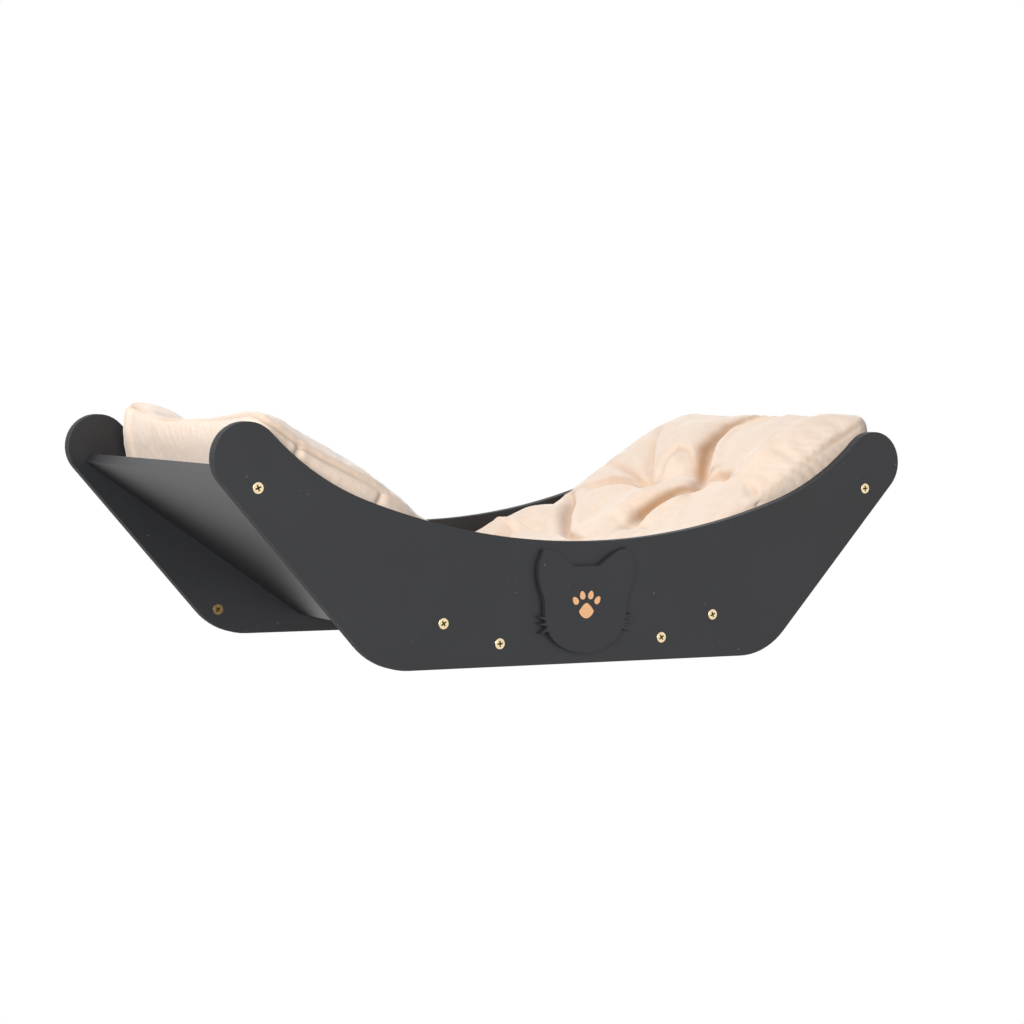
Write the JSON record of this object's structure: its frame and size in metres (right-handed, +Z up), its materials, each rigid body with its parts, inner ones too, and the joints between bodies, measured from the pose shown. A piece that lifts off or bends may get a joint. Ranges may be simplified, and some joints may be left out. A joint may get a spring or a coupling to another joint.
{
  "type": "wall-mounted cat bed",
  "caption": "Wall-mounted cat bed: curved side panels joined by slanted end boards and a bottom board, a cat-head plate on the front, and a loose tufted cushion.",
  "frame": {"origin": "centre of the four wall screws, on the face that meets the wall", "axes": "+X to the right along the wall as seen from the room, +Y into the wall, +Z up"},
  "size_m": [0.6, 0.326, 0.1868],
  "materials": {
    "black_board": "matte black paint on fibreboard",
    "black_plate": "matte black paint on thin fibreboard",
    "brass": "yellow-passivated screws with a cross recess",
    "plush": "short-pile velvet plush",
    "wadding": "fibre filling"
  },
  "bodies": {
    "frame": {"front_panel": "black_board", "back_panel": "black_board", "left_end_board": "black_board", "right_end_board": "black_board", "bottom_board": "black_board", "cat_head_plate": "black_plate", "front_screws_left": "brass", "front_screws_right": "brass", "front_screws_bottom": "brass", "back_screws_left": "brass", "back_screws_right": "brass", "back_screws_bottom": "brass", "wall_screws_lower": "brass", "wall_screws_upper": "brass"},
    "cushion": {"cushion_cover": "plush", "cushion_filling": "wadding"}
  },
  "joints": [
    {"name": "cushion_lift", "type": "slide", "parent": "frame", "child": "cushion", "axis": [0, 0, 1], "range_m": [0, 0.16]}
  ]
}
